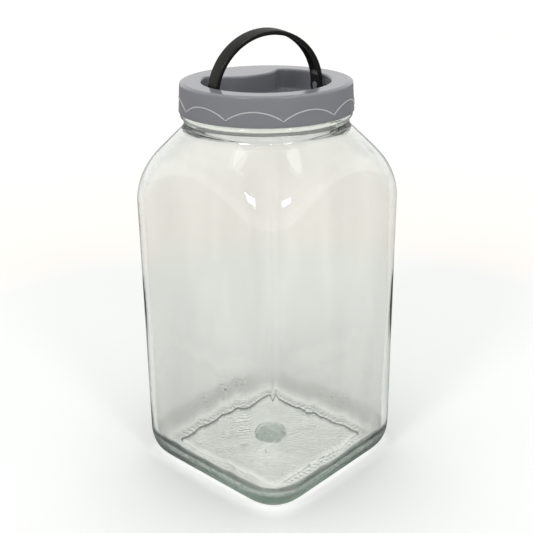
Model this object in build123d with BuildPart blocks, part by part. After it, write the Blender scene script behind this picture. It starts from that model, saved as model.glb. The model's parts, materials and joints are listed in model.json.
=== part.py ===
"""Large square glass jug with a screw lid and a fold-down carrying handle.

Frame: millimetres, +Z up, origin on the table under the middle of the jar, flat walls square to X and Y.
Rest: lid screwed down, handle standing almost upright.
"""

import os
from math import cos, pi, radians, sin, sqrt, tan

from build123d import *

# Glass jar
jar_side = 143.0  # across the flat walls
jar_corner_radius = 29.0  # upright corners, outside
jar_wall = 4.0
base_thickness = 11.0
foot_radius = 16.0  # outside edge between wall and base
floor_radius = 13.0  # inside edge between wall and floor
push_up_side = 96.0  # hollow under the base
push_up_radius = 14.0
push_up_depth = 2.5
push_up_taper = 30.0
kick_radius = 13.0  # round kick in the middle of the floor
kick_height = 6.0
kick_bury = 0.5  # root of the kick sunk into the floor
shoulder_angle = 43.7  # slope of the shoulder, from level
shoulder_round = 47.0  # from the slope into the upright corners
shoulder_overrun = 2.0  # that round ends this far outside the corners
neck_step = 2.0  # neck outside the finish
neck_foot_z = 249.0  # where the slope meets the neck
neck_fillet = 4.0
neck_height = 6.0  # plain neck between the slope and the bead
bead_reach = 4.2  # transfer bead outside the finish
bead_height = 3.6
bead_round = 1.4
finish_radius = 53.0  # plain glass behind the thread
finish_wall = 5.0
rim_round = 1.6

# Screw thread
thread_lead = 6.0  # rise per turn
thread_turns = 1.1
thread_depth = 1.5
thread_root_width = 2.6
thread_crest_width = 1.2
thread_clearance = 0.4  # crest of one thread to root of the other
thread_flank_gap = 0.4
thread_bury = 0.5  # root sunk into its wall
thread_rise = 6.0  # start of the jar's thread above the bead

# Lid
skirt_wall = 2.1  # at the top edge
skirt_flare = 1.1  # foot outside the top edge
lid_height = 19.0
lid_bead_gap = 0.5  # foot of the skirt above the glass bead
lid_edge_round = 0.9
lid_heading = 71.4  # handle's pivot axis from +X, with the lid screwed down
land_thickness = 2.2
well_radius = 42.5
well_depth = 14.2
well_wall = 1.8
well_edge_round = 1.4
well_corner_radius = 5.0  # where the thumb land meets the round wall
thumb_land_radius = 31.7  # rounded land that bulges into the well
thumb_land_edge = 17.8  # from the lid's centre to that land
rib_count = 10  # scallops round the skirt
rib_low = 3.9  # above the skirt's foot
rib_high = 9.8
rib_width = 0.8
rib_proud = 0.35
rib_inset = 2.0  # the arcs' flat sketches start this far inside the skirt

# Liner
liner_thickness = 1.3
liner_seat_gap = 0.1
liner_well_gap = 0.6
liner_overhang = 0.4  # past the outside of the rim

# Handle
handle_side_gap = 2.3  # outside of the arch to the wall of the well
handle_width = 12.0
handle_depth = 3.0  # web and flanges together
handle_web = 1.3
handle_flange = 1.7
handle_foot_angle = 14.0  # solid foot, round the arch from the pivot
handle_lean = 3.6  # from upright, away from the thumb land
pivot_drop = 7.3  # pivot axis below the land
pivot_radius = 2.6
pivot_fit = 0.08  # radial running clearance
pivot_proud = 0.2  # peg past the handle's inner face
boss_radius = 4.4  # shoulder of the peg, outside the handle
boss_gap = 0.4
boss_bury = 0.9

# Cutting shapes run this far past what they cut
clear = 1.0

# Radii and levels that follow from the sizes above
bead_bottom_z = neck_foot_z + neck_height
bead_top_z = bead_bottom_z + bead_height
lid_foot_z = bead_top_z + lid_bead_gap
lid_top_z = lid_foot_z + lid_height
land_underside_z = lid_top_z - land_thickness
rim_z = land_underside_z - liner_thickness - 2 * liner_seat_gap
well_floor_z = lid_top_z - well_depth
pivot_z = lid_top_z - pivot_drop
jar_thread_z = bead_top_z + thread_rise
lid_thread_z = jar_thread_z - (thread_root_width + thread_crest_width) / 2 - thread_flank_gap
neck_radius = finish_radius + neck_step
bead_radius = finish_radius + bead_reach
mouth_radius = finish_radius - finish_wall
skirt_inner_radius = finish_radius + thread_depth + thread_clearance
lid_radius = skirt_inner_radius + skirt_wall
lid_foot_radius = lid_radius + skirt_flare
handle_radius = well_radius - handle_side_gap  # from the pivot axis
slope = radians(shoulder_angle)

# The lid's own directions: u along the handle's pivot axis, w towards the thumb land
u_dir = Vector(cos(radians(lid_heading)), sin(radians(lid_heading)), 0)
w_dir = Vector(0, 0, 1).cross(u_dir)
across_handle = w_dir * cos(radians(handle_lean)) + Vector(0, 0, 1) * sin(radians(handle_lean))
pivot_plane = Plane(origin=(0, 0, pivot_z), x_dir=w_dir, z_dir=u_dir)
arch_plane = Plane(origin=(0, 0, pivot_z), x_dir=u_dir, z_dir=-across_handle)


def lid_level(z):
    """Level plane at height z, turned with the lid."""
    return Plane(origin=(0, 0, z), x_dir=u_dir, z_dir=(0, 0, 1))


def half_diagonal(side, corner_radius):
    """Centre to the outermost line of a rounded upright corner."""
    return (side / 2 - corner_radius) * sqrt(2) + corner_radius


def round_shoulder(neck, foot_z, top_z, reach, rounding):
    """Solid of revolution: neck, slope and a round down to an upright side at radius reach."""
    run = rounding * tan((pi / 2 - slope) / 2)
    corner_z = foot_z - (reach - neck) * tan(slope)
    side_end = (reach, corner_z - run)
    slope_end = (reach - run * cos(slope), corner_z + run * sin(slope))
    with BuildPart() as form:
        with BuildSketch(Plane.XZ):
            with BuildLine():
                Polyline((0, top_z), (0, -clear), (reach, -clear), side_end)
                TangentArc(side_end, slope_end, tangent=(0, 1))
                Polyline(slope_end, (neck, foot_z), (neck, top_z), (0, top_z))
            make_face()
        revolve(axis=Axis.Z)
    return form.part


def ring(inner, outer, bottom_z, top_z):
    """Sketch of a ring's section, to be revolved round Z."""
    with Locations(((inner + outer) / 2, (bottom_z + top_z) / 2)):
        Rectangle(outer - inner, top_z - bottom_z)


def screw_ridge(wall_radius, start_z, outward):
    """One helical thread that stands out of, or into, a round wall."""
    with BuildPart() as ridge:
        with BuildLine() as path:
            Helix(thread_lead, thread_lead * thread_turns, wall_radius, center=(0, 0, start_z))
        start = path.line @ 0
        with BuildSketch(Plane(origin=start, x_dir=(outward, 0, 0), z_dir=path.line % 0)):
            with BuildLine():
                Polyline(
                    (-thread_bury, -thread_root_width / 2),
                    (0, -thread_root_width / 2),
                    (thread_depth, -thread_crest_width / 2),
                    (thread_depth, thread_crest_width / 2),
                    (0, thread_root_width / 2),
                    (-thread_bury, thread_root_width / 2),
                    close=True,
                )
            make_face()
        sweep(is_frenet=True)
    return ridge.part


# Jar: rounded square body under a sloping shoulder, with neck, bead, finish and thread
jar_form = round_shoulder(
    neck_radius,
    neck_foot_z,
    bead_bottom_z,
    half_diagonal(jar_side, jar_corner_radius) + shoulder_overrun,
    shoulder_round,
)
cavity_side = jar_side - 2 * jar_wall
cavity_corner_radius = jar_corner_radius - jar_wall
cavity_neck_foot_z = neck_foot_z + (neck_radius - mouth_radius) * tan(slope) - jar_wall / cos(slope)
cavity_form = round_shoulder(
    mouth_radius,
    cavity_neck_foot_z,
    rim_z + clear,
    half_diagonal(cavity_side, cavity_corner_radius) + shoulder_overrun,
    shoulder_round - jar_wall,
)
with BuildPart() as cavity:
    with BuildSketch(Plane.XY.offset(base_thickness)):
        RectangleRounded(cavity_side, cavity_side, cavity_corner_radius)
    extrude(amount=rim_z + clear - base_thickness)
    fillet(cavity.faces().sort_by(Axis.Z)[0].edges(), floor_radius)
    add(cavity_form, mode=Mode.INTERSECT)

with BuildPart() as kick:
    crown_radius = (kick_radius**2 + kick_height**2) / (2 * kick_height)
    crown_z = base_thickness + kick_height - crown_radius
    with BuildSketch(Plane.XZ):
        with Locations((0, crown_z)):
            Circle(crown_radius)
        with Locations((0, base_thickness - kick_bury)):
            Rectangle(2 * crown_radius, 2 * crown_radius, align=(Align.CENTER, Align.MAX), mode=Mode.SUBTRACT)
        Rectangle(crown_radius, base_thickness + crown_radius, align=(Align.MAX, Align.MIN), mode=Mode.SUBTRACT)
    revolve(axis=Axis.Z)

with BuildPart() as glass_jar:
    with BuildSketch():
        RectangleRounded(jar_side, jar_side, jar_corner_radius)
    extrude(amount=bead_bottom_z)
    fillet(glass_jar.faces().sort_by(Axis.Z)[0].edges(), foot_radius)
    add(jar_form, mode=Mode.INTERSECT)
    neck_foot = glass_jar.edges().filter_by(GeomType.CIRCLE).filter_by(
        lambda edge: abs(edge.center().Z - neck_foot_z) < 0.01
    )
    fillet(neck_foot, neck_fillet)
    with BuildSketch():
        RectangleRounded(push_up_side, push_up_side, push_up_radius)
    extrude(amount=push_up_depth, taper=push_up_taper, mode=Mode.SUBTRACT)
    with BuildSketch(Plane.XZ) as neck_section:
        ring(mouth_radius - clear, bead_radius, bead_bottom_z, bead_top_z)
        fillet(neck_section.vertices().group_by(Axis.X)[-1], bead_round)
    revolve(axis=Axis.Z)
    with BuildSketch(Plane.XZ) as finish_section:
        ring(mouth_radius - clear, finish_radius, bead_bottom_z, rim_z)
        fillet(finish_section.vertices().group_by(Axis.Y)[-1].sort_by(Axis.X)[-1], rim_round)
    revolve(axis=Axis.Z)
    add(cavity.part, mode=Mode.SUBTRACT)
    add(kick.part)
    add(screw_ridge(finish_radius, jar_thread_z, 1))
glass_jar.part.label = "glass_jar"


# Lid: skirt, land and a well whose walls plunge inside the neck
def well_outline(grow):
    """Round well with the thumb land bulging into it, grown outwards by grow."""
    Circle(well_radius + grow)
    with Locations((0, thumb_land_edge + thumb_land_radius)):
        Circle(thumb_land_radius - grow, mode=Mode.SUBTRACT)


def well_horns(outline):
    """The two points where the thumb land meets the round wall."""
    return outline.vertices().group_by(Axis.Y)[-1]


def scallop_planes():
    """Upright planes just inside the skirt, one facing each scallop."""
    inside = lid_radius * cos(pi / rib_count) - rib_inset
    for index in range(rib_count):
        turn = 2 * pi * index / rib_count
        outward = u_dir * sin(turn) - w_dir * cos(turn)
        along = u_dir * cos(turn) + w_dir * sin(turn)
        yield Plane(origin=outward * inside + Vector(0, 0, lid_foot_z), x_dir=along, z_dir=outward)


with BuildPart() as skirt_skin:
    with BuildSketch(Plane.XZ):
        with BuildLine():
            Polyline(
                (lid_radius - rib_width, lid_foot_z),
                (lid_foot_radius + rib_proud, lid_foot_z),
                (lid_radius + rib_proud, lid_top_z),
                (lid_radius - rib_width, lid_top_z),
                close=True,
            )
        make_face()
    revolve(axis=Axis.Z)

with BuildPart() as scallops:
    half_chord = lid_foot_radius * sin(pi / rib_count)
    arc_rise = rib_high - rib_low
    arc_radius = (half_chord**2 + arc_rise**2) / (2 * arc_rise)
    with BuildSketch(*scallop_planes()):
        with Locations((0, rib_high - arc_radius)):
            Circle(arc_radius)
            Circle(arc_radius - rib_width, mode=Mode.SUBTRACT)
        with Locations((0, rib_low + arc_rise)):
            Rectangle(2 * half_chord, 2 * (arc_rise + rib_width), mode=Mode.INTERSECT)
    extrude(amount=lid_foot_radius - lid_radius * cos(pi / rib_count) + 2 * rib_inset)
    add(skirt_skin.part, mode=Mode.INTERSECT)

with BuildPart() as lid:
    with BuildSketch(Plane.XZ) as cap_section:
        with BuildLine():
            Polyline(
                (0, land_underside_z),
                (skirt_inner_radius, land_underside_z),
                (skirt_inner_radius, lid_foot_z),
                (lid_foot_radius, lid_foot_z),
                (lid_radius, lid_top_z),
                (0, lid_top_z),
                close=True,
            )
        make_face()
        fillet(cap_section.vertices().group_by(Axis.Y)[-1].sort_by(Axis.X)[-1], lid_edge_round)
    revolve(axis=Axis.Z)
    with BuildSketch(lid_level(well_floor_z - well_wall)) as well_shell:
        well_outline(well_wall)
        fillet(well_horns(well_shell), well_corner_radius + well_wall)
    extrude(amount=well_depth + well_wall - land_thickness / 2)
    with BuildSketch(lid_level(well_floor_z)) as well_hollow:
        well_outline(0)
        fillet(well_horns(well_hollow), well_corner_radius)
    extrude(amount=well_depth, mode=Mode.SUBTRACT)
    well_edge = lid.faces().filter_by(GeomType.PLANE).sort_by(Axis.Z)[-1].inner_wires()[0].edges()
    fillet(well_edge, well_edge_round)
    for side in (1, -1):
        with BuildSketch(pivot_plane.offset(side * (handle_radius - handle_depth - pivot_proud))):
            Circle(pivot_radius)
        extrude(amount=side * (well_radius + boss_bury - handle_radius + handle_depth + pivot_proud))
        with BuildSketch(pivot_plane.offset(side * (handle_radius + boss_gap))):
            Circle(boss_radius)
        extrude(amount=side * (well_radius + boss_bury - handle_radius - boss_gap))
    add(screw_ridge(skirt_inner_radius, lid_thread_z, -1))
    add(scallops.part)
lid.part.label = "lid"


# Liner: flat ring between the rim of the glass and the underside of the land
with BuildPart() as seal_ring:
    liner_bottom_z = rim_z + liner_seat_gap
    with BuildSketch(Plane.XZ):
        ring(
            well_radius + well_wall + liner_well_gap,
            finish_radius + liner_overhang,
            liner_bottom_z,
            liner_bottom_z + liner_thickness,
        )
    revolve(axis=Axis.Z)
seal_ring.part.label = "seal_ring"


# Handle: channel-section arch with a solid, pierced foot at each end
with BuildPart() as handle:
    with BuildSketch(arch_plane):
        Circle(handle_radius)
        Circle(handle_radius - handle_depth, mode=Mode.SUBTRACT)
        Rectangle(3 * handle_radius, 2 * handle_radius, align=(Align.CENTER, Align.MAX), mode=Mode.SUBTRACT)
    extrude(amount=handle_width / 2, both=True)
    with BuildSketch(arch_plane):
        Circle(handle_radius - handle_web)
        foot_top = handle_radius * sin(radians(handle_foot_angle))
        with Locations((0, foot_top)):
            Rectangle(
                3 * handle_radius, 3 * handle_radius, align=(Align.CENTER, Align.MAX), mode=Mode.SUBTRACT
            )
    extrude(amount=handle_width / 2 - handle_flange, both=True, mode=Mode.SUBTRACT)
    for side in (1, -1):
        with BuildSketch(pivot_plane.offset(side * (handle_radius - handle_depth))):
            Circle(handle_width / 2)
        extrude(amount=side * handle_depth)
    with BuildSketch(pivot_plane):
        Circle(pivot_radius + pivot_fit)
    extrude(amount=handle_radius + clear, both=True, mode=Mode.SUBTRACT)
handle.part.label = "handle"


os.makedirs("parts", exist_ok=True)
for piece in (glass_jar, lid, seal_ring, handle):
    export_step(piece.part, f"parts/{piece.part.label}.step")
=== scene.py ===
import json
import math

import bmesh
import bpy
from mathutils import Matrix, Vector, noise


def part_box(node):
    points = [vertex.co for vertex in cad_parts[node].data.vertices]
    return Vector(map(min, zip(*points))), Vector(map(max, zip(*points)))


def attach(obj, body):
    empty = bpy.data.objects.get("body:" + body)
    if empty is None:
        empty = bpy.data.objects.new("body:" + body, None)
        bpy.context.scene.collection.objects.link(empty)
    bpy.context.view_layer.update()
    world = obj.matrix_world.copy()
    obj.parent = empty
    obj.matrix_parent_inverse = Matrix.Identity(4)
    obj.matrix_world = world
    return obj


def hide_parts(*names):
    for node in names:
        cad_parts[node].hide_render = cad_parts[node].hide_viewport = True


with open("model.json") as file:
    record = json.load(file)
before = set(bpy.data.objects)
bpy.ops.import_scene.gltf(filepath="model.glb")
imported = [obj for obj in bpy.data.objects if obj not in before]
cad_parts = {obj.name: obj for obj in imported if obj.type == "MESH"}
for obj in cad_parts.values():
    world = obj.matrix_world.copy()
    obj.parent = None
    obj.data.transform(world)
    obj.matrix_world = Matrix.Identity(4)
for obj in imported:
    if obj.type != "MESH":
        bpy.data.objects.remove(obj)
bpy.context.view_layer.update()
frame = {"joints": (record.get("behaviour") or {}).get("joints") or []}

bl_info = {
    "name": "Square glass jug",
    "version": (1, 0, 0),
    "blender": (4, 5, 0),
    "location": "3D Viewport > Sidebar > Jug",
    "description": "Builds a large square glass jug with its screw lid, liner and carrying handle",
    "category": "Object",
}

JAR_LOW, JAR_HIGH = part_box("glass_jar")
LID_LOW, LID_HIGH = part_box("lid")
LINER_LOW, LINER_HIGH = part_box("seal_ring")
HANDLE_JOINT = next(j for j in frame["joints"] if j["child"] == "handle")
PIVOT_Z = HANDLE_JOINT["pos_m"][2]
U_DIR = Vector(HANDLE_JOINT["axis"]).normalized()
W_DIR = Vector((0, 0, 1)).cross(U_DIR)
MM = 0.001
TURN = 2 * math.pi

THREAD_LEAD = 6 * MM  # rise per turn
THREAD_TURNS = 1.1
THREAD_ROOT = 2.6 * MM  # width at its root
THREAD_CREST = 0.9 * MM  # width at its crest
THREAD_DEPTH = 1.5 * MM
JAR_THREAD_Z = 264.6 * MM  # where the jar's thread starts
LID_THREAD_Z = 262.3 * MM  # where the lid's thread starts

COLUMNS = 480  # round the jar
DASH_COLUMNS = 4  # of them for each stipple dash under the base
FLOOR_SPAN = 4.0  # metres over which the floor's tones are set
CAMERA_AZIMUTH = 43.07  # degrees from the -Y side towards +X
CORNER_EASING = 40  # smoothing passes that ease the flat walls into the corners
SEAM_COLUMNS = (COLUMNS // 8 * 7, COLUMNS // 8 * 3)  # at the front and back corners
SEAM_HEIGHT = 0.22 * MM


# --- sizes and colours a user would change -------------------------------------------------

def length(name, description, default):
    """A distance in metres."""
    return bpy.props.FloatProperty(
        name=name, description=description, default=default, min=0.0, precision=5,
        unit="LENGTH", subtype="DISTANCE",
    )


def angle(name, description, degrees):
    """An angle, given here in degrees."""
    return bpy.props.FloatProperty(
        name=name, description=description, default=math.radians(degrees),
        unit="ROTATION", subtype="ANGLE",
    )


def colour(name, description, default):
    """A linear colour."""
    return bpy.props.FloatVectorProperty(
        name=name, description=description, default=default, size=3, min=0.0, max=1.0,
        subtype="COLOR",
    )


class JugJarSizes(bpy.types.PropertyGroup):
    side: length("Side", "Across two flat walls", JAR_HIGH.x - JAR_LOW.x)
    corner_radius: length("Corner radius", "Upright corners, outside", 28.2 * MM)
    wall: length("Wall", "Thickness of the glass walls", 4 * MM)
    base: length("Base", "Thickness of the glass floor", 11 * MM)
    heel_inset: length("Heel inset", "How far the heel's round comes in", 15.5 * MM)
    heel_height: length("Heel height", "How far the heel's round goes up", 21.5 * MM)
    floor_round: length("Floor round", "Inside edge between wall and floor", 13 * MM)
    slope: angle("Shoulder slope", "Slope of the shoulder from level", 43.7)
    corner_round: length("Corner round", "Slope into the upright corners", 47 * MM)
    face_round: length("Face round", "Slope into the middle of a flat wall", 25 * MM)
    neck_radius: length("Neck", "Outside radius of the plain neck", 55 * MM)
    neck_foot: length("Neck foot", "Height where slope and neck meet", 249 * MM)
    neck_round: length("Neck round", "Hollow round between slope and neck", 7 * MM)
    bead_radius: length("Bead", "Outside radius of the bead under the lid", 57.2 * MM)
    finish_radius: length("Finish", "Glass behind the thread", 53 * MM)
    mouth_radius: length("Mouth", "Inside radius of the mouth", 48 * MM)
    rim: length("Rim height", "Top of the glass", JAR_HIGH.z)
    kick_radius: length("Kick radius", "Round kick in the middle of the floor", 15.5 * MM)
    kick_height: length("Kick height", "How high the kick stands", 9 * MM)


class JugLidSizes(bpy.types.PropertyGroup):
    radius: length("Radius", "Skirt at its top edge", 57 * MM)
    foot_radius: length("Foot radius", "Skirt at its foot", 58.1 * MM)
    top: length("Top", "Height of the land", LID_HIGH.z)
    foot: length("Foot", "Height of the skirt's foot", 259.1 * MM)
    land: length("Land", "Thickness of the top", 2.2 * MM)
    well_radius: length("Well radius", "Round wall of the well", 42.5 * MM)
    well_depth: length("Well depth", "Land to the floor of the well", 14.2 * MM)
    well_wall: length("Well wall", "Thickness of the well's wall", 1.8 * MM)
    well_corner: length("Well corner", "Where the thumb land meets the round wall", 5 * MM)
    thumb_radius: length("Thumb land", "Round edge of the thumb land", 31.7 * MM)
    thumb_edge: length("Thumb land edge", "From the lid's centre", 17.8 * MM)
    scallops: bpy.props.IntProperty(
        name="Scallops", description="Arcs round the skirt", default=10, min=3
    )
    scallop_low: length("Scallop low", "Cusps above the skirt's foot", 3.9 * MM)
    scallop_high: length("Scallop high", "Tops of the arcs above the foot", 9.8 * MM)


class JugHandleSizes(bpy.types.PropertyGroup):
    radius: length("Radius", "Outside of the arch from the pivot", 40.2 * MM)
    width: length("Width", "Across the strap", 12 * MM)
    depth: length("Depth", "Web and flanges together", 3 * MM)
    web: length("Web", "Thickness of the strap's web", 1.3 * MM)
    flange: length("Flange", "Thickness of each flange", 1.7 * MM)
    lean: angle("Lean", "From upright, away from the thumb land", 3.6)
    pivot_radius: length("Pivot radius", "The lid's pegs", 2.6 * MM)


class JugFinishes(bpy.types.PropertyGroup):
    glass_tint: colour("Glass tint", "Colour of thick glass", (0.30, 0.62, 0.42))
    glass_surface: colour("Glass surface", "Light that each surface passes", (0.90, 0.895, 0.88))
    glass_density: bpy.props.FloatProperty(
        name="Glass density", description="How soon the tint shows, per metre", default=8.0
    )
    lid_grey: colour("Lid grey", "Moulded plastic of the lid", (0.165, 0.168, 0.182))
    handle_black: colour("Handle black", "Moulded plastic of the handle", (0.007, 0.007, 0.0055))
    liner_white: colour("Liner white", "Foam of the liner", (0.78, 0.77, 0.73))


class JugStage(bpy.types.PropertyGroup):
    floor_near: colour("Near floor", "Floor under and round the jug", (0.775, 0.79, 0.775))
    floor_middle: colour("Middle floor", "Floor where it starts to lighten", (0.83, 0.80, 0.765))
    floor_far: colour("Far floor", "Floor further out", (0.93, 0.915, 0.895))
    near_radius: length("Near floor radius", "Where the far floor begins", 0.42)
    far_glow: bpy.props.FloatProperty(name="Far glow", description="Light from the far floor", default=0.20)
    under_glow: bpy.props.FloatProperty(
        name="Glow underneath", description="Light gathered under the glass", default=0.88
    )
    mirrored_floor: colour("Mirrored floor", "Floor as it shows in reflections", (0.25, 0.25, 0.25))
    key_power: bpy.props.FloatProperty(name="Key power", description="Left softbox, watts", default=4.5)
    fill_power: bpy.props.FloatProperty(name="Fill power", description="Right softbox, watts", default=3.4)
    top_power: bpy.props.FloatProperty(name="Top power", description="Overhead softbox, watts", default=9.0)


# --- mesh helpers --------------------------------------------------------------------------

def steps(first, last, count):
    """count evenly spaced values after first, the last one included."""
    return [first + (last - first) * (i + 1) / count for i in range(count)]


def mix(a, b, t):
    return a + (b - a) * t


def smooth_step(low, high, x):
    t = min(max((x - low) / (high - low), 0.0), 1.0)
    return t * t * (3 - 2 * t)


def open_rings(points):
    """A bmesh with one closed ring of edges, each vertex numbered round it."""
    bm = bmesh.new()
    number = bm.verts.layers.int.new("around")
    made = bmesh.ops.create_circle(bm, cap_ends=False, segments=len(points), radius=1.0)
    for k, vert in enumerate(made["verts"]):
        vert[number] = k
        vert.co = points[k]
    return bm, number, list(bm.edges)


def stack_rings(rings):
    """A bmesh of rings of points, each extruded from the one before."""
    bm, number, edges = open_rings(rings[0])
    for points in rings[1:]:
        made = bmesh.ops.extrude_edge_only(bm, edges=edges)["geom"]
        fresh = {g for g in made if isinstance(g, bmesh.types.BMVert)}
        for vert in fresh:
            vert.co = points[vert[number]]
        edges = [
            g for g in made
            if isinstance(g, bmesh.types.BMEdge) and g.verts[0] in fresh and g.verts[1] in fresh
        ]
    return bm


def close_mesh(bm):
    """Merges poles and seams and turns the faces outwards."""
    bmesh.ops.remove_doubles(bm, verts=bm.verts, dist=0.002 * MM)
    bmesh.ops.recalc_face_normals(bm, faces=bm.faces)


def add_object(name, bm, material, body, replaced, flat=False):
    """Makes the piece, gives it its finish and puts it on its body."""
    for face in bm.faces:
        face.smooth = not flat
    mesh = bpy.data.meshes.new(name)
    bm.to_mesh(mesh)
    bm.free()
    mesh.materials.append(material)
    piece = bpy.data.objects.new(name, mesh)
    bpy.context.scene.collection.objects.link(piece)
    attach(piece, body)
    if replaced:
        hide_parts(replaced)
    return piece


def add_peg(bm, radius, start, end, round_edge):
    """Round bar along the handle's pivot axis, from start to end, with a rounded free end."""
    made = bmesh.ops.create_cone(
        bm, cap_ends=True, cap_tris=False, segments=48,
        radius1=radius, radius2=radius, depth=abs(end - start),
    )
    verts = made["verts"]
    face_end = Vector((0, 0, 1)).rotation_difference(U_DIR if end < start else -U_DIR)
    free_edges = [e for e in bm.edges if all(v in verts and v.co.z < 0 for v in e.verts)]
    bevelled = bmesh.ops.bevel(
        bm, geom=free_edges, offset=round_edge, offset_type="OFFSET", segments=3,
        profile=0.5, affect="EDGES", material=-1,
    )
    verts = [v for v in verts if v.is_valid] + bevelled["verts"]
    verts = list(dict.fromkeys(verts))
    bmesh.ops.rotate(bm, verts=verts, cent=(0, 0, 0), matrix=face_end.to_matrix())
    bmesh.ops.translate(bm, verts=verts, vec=U_DIR * (start + end) / 2 + Vector((0, 0, PIVOT_Z)))


# --- the jar -------------------------------------------------------------------------------

def jar_plan(half, corner):
    """Points and outward directions round a rounded square, evenly spaced along it."""
    flat = half - corner
    quarter = 2 * flat + corner * math.pi / 2
    points = []
    for k in range(COLUMNS):
        side, along = divmod(k * 4 * quarter / COLUMNS, quarter)
        if along < flat:
            point = Vector((half, along, 0))
        elif along < flat + corner * math.pi / 2:
            heading = (along - flat) / corner
            point = Vector((flat + corner * math.cos(heading), flat + corner * math.sin(heading), 0))
        else:
            point = Vector((quarter - along, half, 0))
        points.append(Matrix.Rotation(side * math.pi / 2, 3, "Z") @ point)
    for _ in range(CORNER_EASING):
        points = [
            (points[k - 1] + points[k] * 2 + points[(k + 1) % COLUMNS]) / 4 for k in range(COLUMNS)
        ]
    plan = []
    for k, point in enumerate(points):
        along = points[(k + 1) % COLUMNS] - points[k - 1]
        plan.append((point, Vector((along.y, -along.x, 0)).normalized()))
    return plan


def shoulder_line(sizes, reach, neck, foot_z, rounding):
    """(radius, z) from the top of an upright side, over its round and up the slope, to the neck."""
    tip = math.pi / 2 - sizes.slope
    run = rounding * math.tan(tip / 2)
    corner_z = foot_z - (reach - neck) * math.tan(sizes.slope)
    line = [
        (reach - rounding * (1 - math.cos(n)), corner_z - run + rounding * math.sin(n))
        for n in [0.0] + steps(0.0, tip, 18)
    ]
    hollow = sizes.neck_round
    hollow_z = foot_z + hollow * (1 - math.sin(sizes.slope)) / math.cos(sizes.slope)
    turn_in = [
        (neck + hollow * (1 - math.cos(n)), hollow_z - hollow * math.sin(n))
        for n in [tip] + steps(tip, 0.0, 8)
    ]
    start, end = line[-1], turn_in[0]
    slope = [(mix(start[0], end[0], t), mix(start[1], end[1], t)) for t in (0.25, 0.5, 0.75)]
    return line + slope + turn_in


def thread_height(heading, z, start_z):
    """How far a screw thread stands out at this place on its round wall."""
    height = 0.0
    for whole in range(-1, 3):
        travel = heading / TURN + whole
        if not 0.0 <= travel <= THREAD_TURNS:
            continue
        offset = abs(z - start_z - THREAD_LEAD * travel)
        fade = smooth_step(0.0, 0.03, travel) * smooth_step(0.0, 0.03, THREAD_TURNS - travel)
        flank = 1 - smooth_step(THREAD_CREST / 2, THREAD_ROOT / 2, offset)
        height = max(height, THREAD_DEPTH * fade * flank)
    return height


def unevenness(point, scale, amount, seed, tall=1.0):
    """Slow waves in blown glass, drawn out tall times as long in height."""
    place = Vector((point.x, point.y, point.z / tall)) / scale
    return amount * noise.noise(place + Vector((seed, seed * 1.7, seed * 2.3)))


def wall_wave(point):
    """Waves of the inside of the walls."""
    return unevenness(point, 34 * MM, 0.5 * MM, 7.0) + unevenness(point, 11 * MM, 0.22 * MM, 19.0, 6.0)


def kick_rings(sizes, edge, outward):
    """The flat of the floor, from its edge inwards, and the kick in its middle."""
    rings = []
    floor_z = sizes.base
    crown = (sizes.kick_radius ** 2 + sizes.kick_height ** 2) / (2 * sizes.kick_height)
    for t in (0.1, 0.22, 0.36, 0.52, 0.7, 0.88):
        ring = []
        for k in range(COLUMNS):
            target = outward[k] * sizes.kick_radius * 1.25
            flat = edge[k].lerp(Vector((target.x, target.y, floor_z)), t)
            flat.z = floor_z + unevenness(flat, 14 * MM, 0.5 * MM, 5.0)
            ring.append(flat)
        rings.append(ring)
    for s in (1.14, 1.06, 1.0, 0.95, 0.88, 0.78, 0.65, 0.5, 0.34, 0.17, 0.0):
        ring = []
        for k in range(COLUMNS):
            radius = sizes.kick_radius * s
            if s > 1.0:
                z = floor_z + 0.25 * MM * (1.2 - s) / 0.2
            else:
                dome = math.sqrt(max(crown ** 2 - radius ** 2, 0.0)) - (crown - sizes.kick_height)
                z = floor_z + 0.3 * MM + dome
            wobble = 1 + 0.10 * noise.noise(outward[k] * 2.1 + Vector((4, 4, 4))) * min(s * 1.5, 1)
            ring.append(outward[k] * radius * wobble + Vector((0, 0, z)))
        rings.append(ring)
    return rings


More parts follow.
